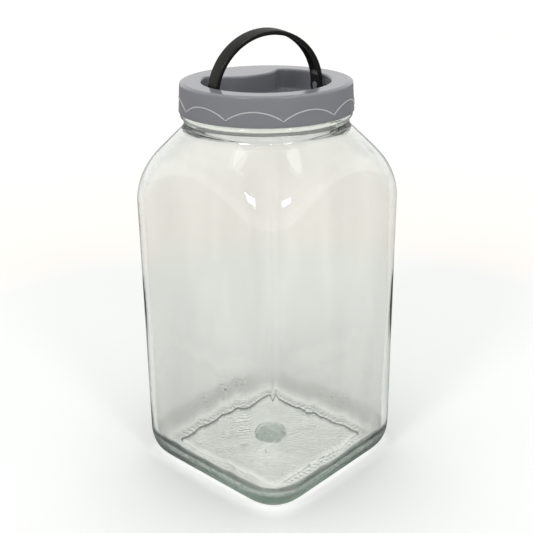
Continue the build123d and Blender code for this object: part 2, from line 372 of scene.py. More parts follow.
def jar_rings(sizes):
    """Every ring of the jar, from the middle of its underside round to the middle of its floor."""
    half, corner, wall = sizes.side / 2, sizes.corner_radius, sizes.wall
    plan = jar_plan(half, corner)
    reach = [p.length for p, n in plan]
    nearest, furthest = min(reach), max(reach)
    rounding = [
        mix(sizes.face_round, sizes.corner_round, (r - nearest) / (furthest - nearest)) for r in reach
    ]
    outward = [p.normalized() for p, n in plan]
    headings = [math.atan2(d.y, d.x) % TURN for d in outward]
    inner_plan = [p - n * wall for p, n in plan]
    inner_outward = [p.normalized() for p in inner_plan]
    seam = [0.0] * COLUMNS
    for k in SEAM_COLUMNS:
        seam[k] = SEAM_HEIGHT
        for near in (k - 1, (k + 1) % COLUMNS):
            seam[near] = 0.04 * MM

    def level(inset, z, scale=1.0):
        return [(p - n * inset) * scale + Vector((0, 0, z)) for p, n in plan]

    def disc(radius, z):
        return [d * radius + Vector((0, 0, z)) for d in outward]

    def inner_disc(radius, z):
        return [d * radius + Vector((0, 0, z)) for d in inner_outward]

    rings = []
    push_up = 2.5 * MM
    rings += [level(25 * MM, push_up, s) for s in (0.0, 0.45, 0.9)]
    rings += [level(25.6 * MM, push_up), level(24.9 * MM, 2.2 * MM), level(23.9 * MM, 1.1 * MM)]
    rings += [level(23.4 * MM, 0.55 * MM)]

    def stippled(inset, lift):
        """The bearing ring, lifted between its dashes."""
        ring = level(inset, 0.0)
        for k, point in enumerate(ring):
            if k % DASH_COLUMNS >= DASH_COLUMNS // 2:
                point.z += lift
        return ring

    rings += [stippled(inset, lift) for inset, lift in (
        (22.6 * MM, 0.12 * MM), (21.8 * MM, 0.28 * MM), (18.4 * MM, 0.28 * MM), (17.4 * MM, 0.12 * MM),
    )]
    heel_in, heel_up = sizes.heel_inset, sizes.heel_height
    rings += [
        level(heel_in * (1 - math.cos(a)), heel_up * (1 - math.sin(a)))
        for a in [math.pi / 2 * 0.97] + steps(math.pi / 2 * 0.97, 0.0, 12)
    ]

    lines = [
        shoulder_line(sizes, reach[k], sizes.neck_radius, sizes.neck_foot, rounding[k])
        for k in range(COLUMNS)
    ]
    for t in steps(0.0, 1.0, 9)[:-1]:
        ring = []
        for k, (p, n) in enumerate(plan):
            point = p + Vector((0, 0, mix(heel_up, lines[k][0][1], t)))
            sink = unevenness(point, 60 * MM, 0.10 * MM, 3.0) - 0.05 * MM
            ring.append(point + n * (sink + seam[k]))
        rings.append(ring)
    for j in range(len(lines[0])):
        ring = []
        for k in range(COLUMNS):
            radius, z = lines[k][j]
            ring.append(outward[k] * (radius + seam[k]) + Vector((0, 0, z)))
        rings.append(ring)

    bead_z, bead_half, bead_round = 256.8 * MM, 1.8 * MM, 1.5 * MM
    for a in steps(-math.pi * 0.62, math.pi * 0.5, 11):
        bead = sizes.bead_radius - bead_round * (1 - math.cos(a))
        rings.append(disc(bead, bead_z + bead_half * math.sin(a)))
    rings.append(disc(sizes.finish_radius + 0.6 * MM, bead_z + bead_half))
    finish_low, finish_high = bead_z + bead_half + 0.6 * MM, sizes.rim - 1.6 * MM
    for z in [finish_low] + steps(finish_low, finish_high, 38):
        rings.append([
            outward[k] * (sizes.finish_radius + thread_height(headings[k], z, JAR_THREAD_Z))
            + Vector((0, 0, z))
            for k in range(COLUMNS)
        ])
    rim_round = 1.6 * MM
    for a in steps(0.0, math.pi / 2, 5):
        rings.append(disc(
            sizes.finish_radius - rim_round * (1 - math.cos(a)), finish_high + rim_round * math.sin(a)
        ))
    for a in [math.pi / 2] + steps(math.pi / 2, 0.0, 4):
        rings.append(inner_disc(
            sizes.mouth_radius + rim_round * (1 - math.cos(a)), finish_high + rim_round * math.sin(a)
        ))

    inner_foot = (
        sizes.neck_foot + (sizes.neck_radius - sizes.mouth_radius) * math.tan(sizes.slope)
        - wall / math.cos(sizes.slope)
    )
    inner_lines = [
        shoulder_line(sizes, inner_plan[k].length, sizes.mouth_radius, inner_foot, rounding[k] - wall)
        for k in range(COLUMNS)
    ]
    for j in reversed(range(len(inner_lines[0]))):
        ring = []
        for k in range(COLUMNS):
            radius, z = inner_lines[k][j]
            point = inner_outward[k] * radius + Vector((0, 0, z))
            ring.append(point + inner_outward[k] * wall_wave(point))
        rings.append(ring)
    floor_z, floor_round = sizes.base, sizes.floor_round
    for t in steps(0.0, 1.0, 13)[:-1]:
        ring = []
        for k, (p, n) in enumerate(plan):
            z = mix(inner_lines[k][0][1], floor_z + floor_round, t)
            point = inner_plan[k] + Vector((0, 0, z))
            ring.append(point + n * wall_wave(point))
        rings.append(ring)
    for a in [0.0] + steps(0.0, math.pi / 2, 12):
        ring = []
        for k, (p, n) in enumerate(plan):
            inset = wall + floor_round * (1 - math.cos(a))
            point = p - n * inset + Vector((0, 0, floor_z + floor_round * (1 - math.sin(a))))
            ripple = unevenness(point, 16 * MM, 1.6 * MM, 11.0) * math.sin(a)
            wave = wall_wave(point) * math.cos(a)
            ring.append(point + n * (wave + ripple) + Vector((0, 0, ripple * 0.5)))
        rings.append(ring)
    return rings + kick_rings(sizes, rings[-1], inner_outward)


class JUG_OT_glass_jar(bpy.types.Operator):
    """Blown glass jar: stippled base, rounded square walls, round shoulder, bead, thread and rim"""
    bl_idname = "jug.glass_jar"
    bl_label = "Glass jar"

    def execute(self, context):
        bm = stack_rings(jar_rings(context.scene.jug_jar))
        close_mesh(bm)
        glass = glass_material(context.scene.jug_finishes)
        add_object("jar_glass", bm, glass, "jar", "glass_jar")
        return {"FINISHED"}


# --- the lid -------------------------------------------------------------------------------

def well_line(sizes, grow):
    """(u, w) points round the well and its thumb land, grown outwards by grow."""
    round_r = sizes.well_radius + grow
    thumb_w = sizes.thumb_edge + sizes.thumb_radius
    thumb_r = sizes.thumb_radius - grow
    corner = sizes.well_corner + grow
    near, far = sizes.well_radius - sizes.well_corner, sizes.thumb_radius + sizes.well_corner
    corner_w = (thumb_w ** 2 + near ** 2 - far ** 2) / (2 * thumb_w)
    corner_u = math.sqrt(near ** 2 - corner_w ** 2)
    horn = math.atan2(corner_w, corner_u)
    into_thumb = math.atan2(thumb_w - corner_w, -corner_u)
    points = []
    for a in steps(math.pi - horn - TURN, horn, 176):
        points.append((round_r * math.cos(a), round_r * math.sin(a)))
    for a in steps(horn, into_thumb, 20):
        points.append((corner_u + corner * math.cos(a), corner_w + corner * math.sin(a)))
    for a in steps(into_thumb - math.pi, -into_thumb, 72):
        points.append((thumb_r * math.cos(a), thumb_w + thumb_r * math.sin(a)))
    for a in steps(math.pi - into_thumb, math.pi - horn, 20):
        points.append((-corner_u + corner * math.cos(a), corner_w + corner * math.sin(a)))
    return points


def lid_place(u, w, z):
    return U_DIR * u + W_DIR * w + Vector((0, 0, z))


def lid_rings(sizes):
    """Every ring of the lid, from the middle of the well's floor round to the middle underneath."""
    well = well_line(sizes, 0.0)
    upper = 45 * MM * 0.6
    circle = []
    for u, w in well:
        if w > upper:
            ratio = min(max(u / sizes.well_radius, -1.0), 1.0)
            circle.append((ratio, math.sqrt(1 - ratio ** 2)))
        else:
            size = math.hypot(u, w)
            circle.append((u / size, w / size))
    thumb_start = next(k for k, (u, w) in enumerate(well) if w > upper and k > 150)
    for k in range(thumb_start, len(well)):
        ratio = min(max(well[k][0] / sizes.well_radius, -1.0), 1.0)
        circle[k] = (ratio, math.sqrt(1 - ratio ** 2))
    headings = [math.atan2(lid_place(u, w, 0).y, lid_place(u, w, 0).x) % TURN for u, w in circle]

    def outline(grow, z):
        return [lid_place(u, w, z) for u, w in well_line(sizes, grow)]

    def shrunk(scale, z, grow=0.0):
        middle = -14 * MM
        return [
            lid_place(u * scale, middle + (w - middle) * scale, z) for u, w in well_line(sizes, grow)
        ]

    def disc(radius, z):
        return [lid_place(u * radius, w * radius, z) for u, w in circle]

    def across(grow, radius, t, z):
        return [a.lerp(b, t) for a, b in zip(outline(grow, z), disc(radius, z))]

    top, floor_z = sizes.top, sizes.top - sizes.well_depth
    rings = [shrunk(s, floor_z) for s in (0.0, 0.4, 0.8)]
    foot_round = 1.6 * MM
    for a in [0.0] + steps(0.0, math.pi / 2, 5):
        rings.append(outline(-foot_round * (1 - math.sin(a)), floor_z + foot_round * (1 - math.cos(a))))
    lip = 1.4 * MM
    rings += [outline(0.05 * MM, mix(floor_z + foot_round, top - lip, t)) for t in (0.33, 0.66)]
    for a in [0.0] + steps(0.0, math.pi / 2, 7):
        rings.append(outline(0.1 * MM + lip * (1 - math.cos(a)), top - lip * (1 - math.sin(a))))
    groove = 54.6 * MM
    rings += [across(lip + 0.1 * MM, groove, t, top) for t in (0.03, 0.3, 0.6, 0.9)]
    rings += [disc(groove, top), disc(groove + 0.12 * MM, top - 0.18 * MM)]
    rings += [disc(groove + 0.3 * MM, top - 0.2 * MM), disc(groove + 0.45 * MM, top - 0.2 * MM)]
    edge = 1.1 * MM
    for a in steps(0.0, math.pi / 2, 6):
        rings.append(disc(
            sizes.radius - edge * (1 - math.sin(a)), top - 0.2 * MM - edge * (1 - math.cos(a))
        ))
    for t in steps(0.0, 1.0, 6)[:-1]:
        rings.append(disc(
            mix(sizes.radius, sizes.foot_radius, t), mix(top - edge, sizes.foot + 0.4 * MM, t)
        ))
    foot_edge = 0.4 * MM
    for a in [0.0] + steps(0.0, math.pi / 2, 3):
        rings.append(disc(
            sizes.foot_radius - foot_edge * (1 - math.cos(a)), sizes.foot + foot_edge * (1 - math.sin(a))
        ))
    inner = 54.9 * MM
    under = top - sizes.land
    rings.append(disc(inner + 0.4 * MM, sizes.foot))
    for z in [sizes.foot + 0.4 * MM] + steps(sizes.foot + 0.4 * MM, under - 0.6 * MM, 36):
        ring = []
        for k, (u, w) in enumerate(circle):
            inwards = thread_height(headings[k], z, LID_THREAD_Z)
            ring.append(lid_place(u * (inner - inwards), w * (inner - inwards), z))
        rings.append(ring)
    rings.append(disc(inner - 0.6 * MM, under))
    shell = sizes.well_wall
    rings += [across(shell + 0.6 * MM, inner - 0.6 * MM, t, under) for t in (0.66, 0.33, 0.02)]
    rings.append(outline(shell, under - 0.6 * MM))
    bottom_z = floor_z - shell
    rings += [outline(shell, mix(under, bottom_z, t)) for t in (0.5, 0.88)]
    for a in [0.0] + steps(0.0, math.pi / 2, 4):
        rings.append(outline(shell - 1.5 * MM * (1 - math.cos(a)), bottom_z + 1.5 * MM * (1 - math.sin(a))))
    rings += [shrunk(s, bottom_z) for s in (0.8, 0.4, 0.0)]
    return rings


def add_scallops(bm, sizes):
    """Raised rib in a row of arcs round the skirt, as a closed loop of small round sections."""
    count, arc_steps, around = sizes.scallops, 18, 8
    half_turn = math.pi / count
    low, rise = sizes.scallop_low, sizes.scallop_high - sizes.scallop_low
    half_chord = sizes.foot_radius * math.sin(half_turn)
    arc_r = (half_chord ** 2 + rise ** 2) / (2 * rise)
    total = count * arc_steps
    sections = []
    for j in range(total):
        t = (j % arc_steps) / arc_steps * 2 - 1
        turn = TURN * (j // arc_steps) / count + t * half_turn
        x = sizes.foot_radius * math.sin(t * half_turn)
        up = math.sqrt(arc_r ** 2 - x ** 2) - (arc_r - rise)
        z = sizes.foot + low + up
        lean = math.atan2(x, math.sqrt(arc_r ** 2 - x ** 2))
        share = (sizes.top - z) / (sizes.top - sizes.foot)
        radius = mix(sizes.radius, sizes.foot_radius, share)
        out = U_DIR * math.sin(turn) - W_DIR * math.cos(turn)
        along = U_DIR * math.cos(turn) + W_DIR * math.sin(turn)
        cusp = min(1.0, 0.35 + abs(abs(t) - 1) * 6)
        across = Vector((0, 0, 1)) * math.cos(lean) + along * math.sin(lean)
        centre = out * radius + Vector((0, 0, z))
        sections.append([
            centre + across * (0.45 * MM * math.cos(TURN * i / around)) * (0.6 + 0.4 * cusp)
            + out * (0.32 * MM * math.sin(TURN * i / around))
            for i in range(around)
        ])
    rib = stack_rings(sections + [sections[0]])
    bmesh.ops.remove_doubles(rib, verts=rib.verts, dist=0.001 * MM)
    bmesh.ops.recalc_face_normals(rib, faces=rib.faces)
    for face in rib.faces:
        face.material_index = 1
    spare = bpy.data.meshes.new("rib")
    rib.to_mesh(spare)
    rib.free()
    bm.from_mesh(spare)
    bpy.data.meshes.remove(spare)


class JUG_OT_lid(bpy.types.Operator):
    """Moulded screw lid: well with thumb land, scalloped skirt, inner thread and the handle's pegs"""
    bl_idname = "jug.lid"
    bl_label = "Lid"

    def execute(self, context):
        sizes, strap = context.scene.jug_lid, context.scene.jug_handle
        bm = stack_rings(lid_rings(sizes))
        close_mesh(bm)
        inside = strap.radius - strap.depth - 0.2 * MM
        wall = sizes.well_radius + 0.9 * MM
        for side in (1, -1):
            add_peg(bm, strap.pivot_radius, side * wall, side * inside, 0.3 * MM)
            add_peg(bm, 4.4 * MM, side * wall, side * (strap.radius + 0.4 * MM), 0.4 * MM)
        add_scallops(bm, sizes)
        finishes = context.scene.jug_finishes
        piece = add_object("lid_shell", bm, lid_material(finishes), "lid", "lid")
        piece.data.materials.append(rib_highlight_material(finishes))
        return {"FINISHED"}


# --- the liner -----------------------------------------------------------------------------

class JUG_OT_liner(bpy.types.Operator):
    """Foam ring that seals the lid on the rim of the glass"""
    bl_idname = "jug.liner"
    bl_label = "Liner"

    def execute(self, context):
        inner, outer = 44.9 * MM, LINER_HIGH.x
        low, high = LINER_LOW.z, LINER_HIGH.z
        bm = bmesh.new()
        made = bmesh.ops.create_grid(bm, x_segments=1, y_segments=1, size=0.5)
        bmesh.ops.scale(bm, vec=(outer - inner, high - low, 1), verts=made["verts"])
        upright = Matrix.Rotation(math.pi / 2, 3, "X")
        bmesh.ops.rotate(bm, verts=made["verts"], cent=(0, 0, 0), matrix=upright)
        bmesh.ops.translate(bm, verts=made["verts"], vec=((inner + outer) / 2, 0, (low + high) / 2))
        bmesh.ops.bevel(
            bm, geom=list(bm.verts), offset=0.3 * MM, offset_type="OFFSET", segments=3,
            profile=0.5, affect="VERTICES", material=-1,
        )
        bmesh.ops.delete(bm, geom=list(bm.faces), context="FACES_ONLY")
        bmesh.ops.spin(
            bm, geom=list(bm.verts) + list(bm.edges), cent=(0, 0, 0), axis=(0, 0, 1),
            angle=TURN, steps=192, use_merge=True,
        )
        close_mesh(bm)
        foam = liner_material(context.scene.jug_finishes)
        add_object("liner_ring", bm, foam, "liner", "seal_ring")
        return {"FINISHED"}


# --- the handle ----------------------------------------------------------------------------

def strap_section(sizes, fill):
    """(across, depth) points round the strap's channel; fill closes the channel towards its feet."""
    half, depth, web, flange = sizes.width / 2, sizes.depth, sizes.web, sizes.flange
    floor = mix(web, depth - 0.02 * MM, fill)
    bulge = 0.12 * MM
    step, edge = 0.22 * MM, 0.6 * MM
    side = []
    for i in range(6):
        t = i / 5
        side.append(((half - edge) * t, bulge * t * t))
    for i in range(1, 5):
        a = math.pi / 2 * i / 4
        side.append((half - edge * (1 - math.sin(a)), bulge + edge * (1 - math.cos(a))))
    side += [(half, 1.35 * MM), (half - step * 0.2, 1.5 * MM), (half - step, 1.56 * MM)]
    side += [(half - step, 2.1 * MM), (half - step, depth - 0.35 * MM)]
    side += [(half - step - 0.1 * MM, depth - 0.1 * MM), (half - step - 0.35 * MM, depth)]
    inside = half - flange
    side += [(inside + 0.35 * MM, depth), (inside + 0.1 * MM, mix(depth - 0.1 * MM, depth - 0.005 * MM, fill))]
    side += [(inside, mix(depth - 0.35 * MM, depth - 0.01 * MM, fill))]
    side += [(inside, mix(floor + 0.5 * MM, depth - 0.015 * MM, fill))]
    side += [(inside - 0.15 * MM, mix(floor + 0.15 * MM, depth - 0.018 * MM, fill))]
    side += [(inside - 0.5 * MM, floor), (inside * 0.45, floor), (0.0, floor)]
    other = [(-a, d) for a, d in reversed(side[1:-1])]
    return side + other


def strap_sections(sizes):
    """Placed sections from one foot, over the arch, to the other foot."""
    lean = sizes.lean
    across = W_DIR * math.cos(lean) + Vector((0, 0, 1)) * math.sin(lean)
    up = Vector((0, 0, 1)) * math.cos(lean) - W_DIR * math.sin(lean)
    pivot = Vector((0, 0, PIVOT_Z))
    half = sizes.width / 2
    stations = []
    for t in steps(-math.pi / 2, 0.0, 12):
        stations.append((0.0, half * math.sin(t), math.cos(t)))
    stations.insert(0, (0.0, -half, 0.0))
    foot = math.radians(13)
    for a in steps(0.0, foot, 8):
        stations.append((a, 0.0, 1.0))
    for a in steps(foot, math.pi / 2, 40):
        stations.append((a, 0.0, 1.0))
    sections = []
    for a, drop, narrow in stations + [(math.pi - a, d, n) for a, d, n in reversed(stations[:-1])]:
        rise = min(a, math.pi - a)
        fill = 1 - smooth_step(foot - 0.03, foot + 0.035, rise)
        radial = U_DIR * math.cos(a) + up * math.sin(a)
        sections.append([
            pivot + radial * (sizes.radius - d) + across * (s * narrow) + up * drop
            for s, d in strap_section(sizes, fill)
        ])
    return sections


def cut_eyes(piece, radius):
    """Bores the two pivot eyes through the feet."""
    cutter_bm = bmesh.new()
    made = bmesh.ops.create_cone(
        cutter_bm, cap_ends=True, cap_tris=False, segments=48, radius1=radius, radius2=radius, depth=0.12
    )
    turn = Vector((0, 0, 1)).rotation_difference(U_DIR).to_matrix()
    bmesh.ops.rotate(cutter_bm, verts=made["verts"], cent=(0, 0, 0), matrix=turn)
    bmesh.ops.translate(cutter_bm, verts=made["verts"], vec=(0, 0, PIVOT_Z))
    mesh = bpy.data.meshes.new("eye_bore")
    cutter_bm.to_mesh(mesh)
    cutter_bm.free()
    cutter = bpy.data.objects.new("eye_bore", mesh)
    bpy.context.scene.collection.objects.link(cutter)
    bore = piece.modifiers.new("bore", "BOOLEAN")
    bore.operation, bore.object, bore.solver = "DIFFERENCE", cutter, "EXACT"
    shaped = bpy.data.meshes.new_from_object(piece.evaluated_get(bpy.context.evaluated_depsgraph_get()))
    piece.modifiers.clear()
    old = piece.data
    piece.data = shaped
    bpy.data.meshes.remove(old)
    bpy.data.objects.remove(cutter)
    bpy.data.meshes.remove(mesh)


class JUG_OT_handle(bpy.types.Operator):
    """Carrying handle: channel arch with a solid pierced foot at each end"""
    bl_idname = "jug.handle"
    bl_label = "Handle"

    def execute(self, context):
        sizes = context.scene.jug_handle
        bm = stack_rings(strap_sections(sizes))
        number = bm.verts.layers.int["around"]
        last = max(vert[number] for vert in bm.verts)
        for face in bm.faces:
            if all(vert[number] <= 6 or vert[number] >= last - 5 for vert in face.verts):
                face.material_index = 1
        close_mesh(bm)
        finishes = context.scene.jug_finishes
        black = handle_material(finishes)
        piece = add_object("carry_handle", bm, black, "handle", "handle")
        piece.data.materials.append(strap_material(finishes))
        cut_eyes(piece, sizes.pivot_radius + 0.08 * MM)
        return {"FINISHED"}


# --- finishes ------------------------------------------------------------------------------

def add_node(tree, kind, **values):
    """A node with its sockets or settings filled in."""
    node = tree.nodes.new(kind)
    for key, value in values.items():
        if key in node.inputs:
            node.inputs[key].default_value = value
        else:
            setattr(node, key, value)
    return node


def math_node(tree, operation, *values):
    """Output of a math node between sockets or numbers."""
    made = add_node(tree, "ShaderNodeMath", operation=operation)
    for socket, value in zip(made.inputs, values):
        if isinstance(value, float):
            socket.default_value = value
        else:
            tree.links.new(value, socket)
    return made.outputs[0]


def between(tree, value, none, full):
    """Zero where value is none, one where it is full."""
    made = add_node(tree, "ShaderNodeMapRange")
    tree.links.new(value, made.inputs["Value"])
    made.inputs["From Min"].default_value, made.inputs["From Max"].default_value = none, full
    return made.outputs["Result"]


def cloud(tree, place, scale, tall=None, **settings):
    """Noise over the surface; tall squeezes it in height, or draws it out below one."""
    if tall is not None:
        squeezed = add_node(tree, "ShaderNodeMapping", Scale=(1.0, 1.0, tall))
        tree.links.new(place, squeezed.inputs["Vector"])
        place = squeezed.outputs["Vector"]
    made = add_node(tree, "ShaderNodeTexNoise", Scale=scale, **settings)
    tree.links.new(place, made.inputs["Vector"])
    return made.outputs["Fac"]


def moulded_group():
    """Shader group for moulded plastic: cloudy colour, worn gloss and orange-peel height."""
    name = "Moulded surface"
    if name in bpy.data.node_groups:
        return bpy.data.node_groups[name]
    tree = bpy.data.node_groups.new(name, "ShaderNodeTree")
    for way, label, kind in (
        ("INPUT", "Colour", "Color"), ("INPUT", "Colour change", "Float"),
        ("INPUT", "Gloss", "Float"), ("INPUT", "Gloss change", "Float"),
        ("INPUT", "Grain scale", "Float"), ("OUTPUT", "Colour", "Color"),
        ("OUTPUT", "Roughness", "Float"), ("OUTPUT", "Height", "Float"),
    ):
        tree.interface.new_socket(label, in_out=way, socket_type="NodeSocket" + kind)
    given = tree.nodes.new("NodeGroupInput").outputs
    result = tree.nodes.new("NodeGroupOutput").inputs
    place = tree.nodes.new("ShaderNodeTexCoord").outputs["Object"]
    clouds = cloud(tree, place, 38.0, Detail=3.0)
    rubs = cloud(tree, place, 220.0, Detail=5.0, Roughness=0.65)
    change = math_node(tree, "MULTIPLY", math_node(tree, "SUBTRACT", clouds, 0.5), given["Colour change"])
    tinted = add_node(tree, "ShaderNodeVectorMath", operation="SCALE")
    tree.links.new(given["Colour"], tinted.inputs[0])
    tree.links.new(math_node(tree, "ADD", change, 1.0), tinted.inputs["Scale"])
    tree.links.new(tinted.outputs["Vector"], result["Colour"])
    worn = math_node(tree, "SUBTRACT", rubs, 0.5)
    rough = math_node(tree, "MULTIPLY_ADD", worn, given["Gloss change"], given["Gloss"])
    tree.links.new(rough, result["Roughness"])
    grain = add_node(tree, "ShaderNodeTexNoise", Detail=2.0)
    tree.links.new(place, grain.inputs["Vector"])
    tree.links.new(given["Grain scale"], grain.inputs["Scale"])
    tree.links.new(grain.outputs["Fac"], result["Height"])
    return tree


def plastic(name, tone, colour_change, gloss, gloss_change, grain_scale, grain_strength, shine):
    """Principled plastic whose colour, gloss and grain come from the shared group."""
    material = bpy.data.materials.new(name)
    material.use_nodes = True
    tree = material.node_tree
    shader = tree.nodes["Principled BSDF"]
    group = tree.nodes.new("ShaderNodeGroup")
    group.node_tree = moulded_group()
    group.inputs["Colour"].default_value = (*tone, 1.0)
    group.inputs["Colour change"].default_value = colour_change
    group.inputs["Gloss"].default_value = gloss
    group.inputs["Gloss change"].default_value = gloss_change
    group.inputs["Grain scale"].default_value = grain_scale
    tree.links.new(group.outputs["Colour"], shader.inputs["Base Color"])
    tree.links.new(group.outputs["Roughness"], shader.inputs["Roughness"])
    bump = tree.nodes.new("ShaderNodeBump")
    bump.inputs["Strength"].default_value = grain_strength
    bump.inputs["Distance"].default_value = 0.1 * MM
    tree.links.new(group.outputs["Height"], bump.inputs["Height"])
    tree.links.new(bump.outputs["Normal"], shader.inputs["Normal"])
    shader.inputs["Specular IOR Level"].default_value = shine
    return material


def lid_material(finishes):
    return plastic("Grey moulded plastic", finishes.lid_grey, 0.10, 0.16, 0.10, 900.0, 0.06, 0.5)


def rib_highlight_material(finishes):
    """The same plastic made paler on the raised rib: a painted highlight where the rib's top catches light."""
    # Painted highlight: the rib's colour is lifted halfway towards pale grey.
    highlight_tone = [mix(tone, 0.60, 0.5) for tone in finishes.lid_grey]
    return plastic("Grey plastic, painted highlight", highlight_tone, 0.25, 0.30, 0.10, 900.0, 0.06, 0.5)


def handle_material(finishes):
    return plastic("Black moulded plastic", finishes.handle_black, 0.30, 0.24, 0.16, 1500.0, 0.12, 0.35)


def strap_material(finishes):
    """The strap's outer face, rubbed matt by hands."""
    dull = [tone + 0.002 for tone in finishes.handle_black]
    return plastic("Black plastic, rubbed matt", dull, 0.45, 0.42, 0.20, 1800.0, 0.30, 0.12)


def liner_material(finishes):
    return plastic("Liner foam", finishes.liner_white, 0.12, 0.85, 0.10, 2600.0, 0.8, 0.3)


def square_reach(tree, x, y):
    """Distance from the middle, equal all along a rounded square."""
    sixths = [math_node(tree, "POWER", math_node(tree, "ABSOLUTE", axis), 6.0) for axis in (x, y)]
    return math_node(tree, "POWER", math_node(tree, "ADD", *sixths), 1 / 6)


def worn_zones(tree, place):
    """One under the jar, round its foot and on the kick, nothing elsewhere."""
    axes = add_node(tree, "ShaderNodeSeparateXYZ")
    tree.links.new(place, axes.inputs["Vector"])
    x, y, z = axes.outputs
    outside = between(tree, square_reach(tree, x, y), 68.5 * MM, 69.2 * MM)
    side = math_node(tree, "MULTIPLY", outside, between(tree, z, 22 * MM, 17 * MM))
    foot = math_node(tree, "MAXIMUM", between(tree, z, 10.5 * MM, 8.0 * MM), side)
    squares = [math_node(tree, "MULTIPLY", axis, axis) for axis in (x, y)]
    reach = math_node(tree, "SQRT", math_node(tree, "ADD", *squares))
    near = between(tree, reach, 17.0 * MM, 15.0 * MM)
    kick = math_node(tree, "MULTIPLY", near, between(tree, z, 11.2 * MM, 12.5 * MM))
    return math_node(tree, "ADD", foot, kick)


def glass_relief(tree, place):
    """Height of the glass surface: slow ripple, folds and seeds in patches, and the worn zones' frosting."""
    ripple = cloud(tree, place, 30.0, 0.3, Detail=2.0, Roughness=0.4)
    folds = cloud(tree, place, 16.0, 3.4, Detail=3.0, Distortion=0.6)
    crease = math_node(tree, "ABSOLUTE", math_node(tree, "SUBTRACT", folds, 0.5))
    folded = between(tree, cloud(tree, place, 11.0, Detail=1.0), 0.60, 0.72)
    wrinkles = math_node(tree, "MULTIPLY", between(tree, crease, 0.020, 0.0), folded)
    seeds = add_node(tree, "ShaderNodeTexVoronoi", Scale=130.0)
    tree.links.new(place, seeds.inputs["Vector"])
    seeded = between(tree, cloud(tree, place, 24.0, Detail=1.0), 0.62, 0.70)
    dots = math_node(tree, "MULTIPLY", between(tree, seeds.outputs["Distance"], 0.16, 0.06), seeded)
    marks = math_node(tree, "ADD", wrinkles, dots)
    relief = math_node(tree, "MULTIPLY_ADD", marks, 0.25, ripple)
    frosting = math_node(tree, "MULTIPLY", cloud(tree, place, 1100.0, Detail=1.0), worn_zones(tree, place))
    return math_node(tree, "MULTIPLY_ADD", frosting, 2.4, relief)


def glass_material(finishes):
    """Clear soda-lime glass, green where it is thick, with the faint ripple of a blown surface and painted
    reflection streaks in its colour.
    """
    material = bpy.data.materials.new("Clear jar glass")
    material.use_nodes = True
    tree = material.node_tree
    shader = tree.nodes["Principled BSDF"]
    shader.inputs["Base Color"].default_value = (*finishes.glass_surface, 1.0)
    shader.inputs["Roughness"].default_value = 0.0
    shader.inputs["Metallic"].default_value = 0.0
    shader.inputs["IOR"].default_value = 1.52
    shader.inputs["Transmission Weight"].default_value = 1.0
    place = tree.nodes.new("ShaderNodeTexCoord").outputs["Object"]
    bump = add_node(tree, "ShaderNodeBump", Strength=0.35, Distance=0.6 * MM)
    tree.links.new(glass_relief(tree, place), bump.inputs["Height"])
    tree.links.new(bump.outputs["Normal"], shader.inputs["Normal"])
    # Painted reflections: tall streaks of lighter and darker colour stand in for the surroundings reflected in
    # the glass.
    painted_reflection_streaks = tree.nodes.new("ShaderNodeValToRGB")
    for stop, at, share in zip(painted_reflection_streaks.color_ramp.elements, (0.34, 0.66), (0.97, 1.04)):
        stop.position = at
        stop.color = (*[min(1.0, c * share) for c in finishes.glass_surface], 1.0)
    reflection_streak_noise = cloud(tree, place, 26.0, 0.22, Detail=3.0, Distortion=0.4)
    tree.links.new(reflection_streak_noise, painted_reflection_streaks.inputs["Fac"])
    tree.links.new(painted_reflection_streaks.outputs["Color"], shader.inputs["Base Color"])
    tint = tree.nodes.new("ShaderNodeVolumeAbsorption")
    tint.inputs["Color"].default_value = (*finishes.glass_tint, 1.0)
    tint.inputs["Density"].default_value = finishes.glass_density
    output = tree.nodes["Material Output"]
    tree.links.new(tint.outputs["Volume"], output.inputs["Volume"])
    return material


def floor_material(stage):
    """Pale floor, a little lighter and faintly glowing further out, with a painted glow under and just round
    the glass.
    """
    material = bpy.data.materials.new("Pale floor")
    material.use_nodes = True
    tree = material.node_tree
    shader = tree.nodes["Principled BSDF"]
    shader.inputs["Roughness"].default_value = 0.9
    shader.inputs["Specular IOR Level"].default_value = 0.0
    place = tree.nodes.new("ShaderNodeTexCoord")
    far = add_node(tree, "ShaderNodeVectorMath", operation="LENGTH")
    tree.links.new(place.outputs["Object"], far.inputs[0])
    reach = add_node(tree, "ShaderNodeMath", operation="MULTIPLY")
    reach.inputs[1].default_value = 1.0 / FLOOR_SPAN
    tree.links.new(far.outputs["Value"], reach.inputs[0])

    def ramp(stops):
        node = tree.nodes.new("ShaderNodeValToRGB")
        while len(node.color_ramp.elements) < len(stops):
            node.color_ramp.elements.new(0.5)
        for stop, (distance, tone) in zip(node.color_ramp.elements, stops):
            stop.position = distance / FLOOR_SPAN
            stop.color = (*tone, 1.0)
        tree.links.new(reach.outputs[0], node.inputs["Fac"])
        return node.outputs["Color"]

    near, middle, far_tone = stage.floor_near, stage.floor_middle, stage.floor_far
    edge = stage.near_radius
    tones = ramp(((edge - 0.03, near), (edge + 0.05, middle), (1.1, far_tone), (4.0, (0.98, 0.97, 0.96))))
    tree.links.new(tones, shader.inputs["Base Color"])
    glow = stage.far_glow
    shine = ramp(((0.7, (0, 0, 0)), (1.2, (glow * 0.4,) * 3), (4.0, (glow,) * 3)))
    shader.inputs["Emission Strength"].default_value = 1.0
    axes = add_node(tree, "ShaderNodeSeparateXYZ")
    tree.links.new(place.outputs["Object"], axes.inputs["Vector"])
    # Painted glow: the floor under and just round the glass emits light, standing in for light passed through
    # the glass and hiding the jug's shadow there.
    under = between(tree, square_reach(tree, *axes.outputs[:2]), 0.076, 0.054)
    glows = tree.nodes.new("ShaderNodeMix")
    glows.data_type = "RGBA"
    glows.inputs[7].default_value = (stage.under_glow,) * 3 + (1.0,)
    tree.links.new(shine, glows.inputs[6])
    under.node.interpolation_type = "SMOOTHSTEP"
    tree.links.new(under, glows.inputs[0])
    tree.links.new(glows.outputs[2], shader.inputs["Emission Color"])
    return material


# --- the stage -----------------------------------------------------------------------------

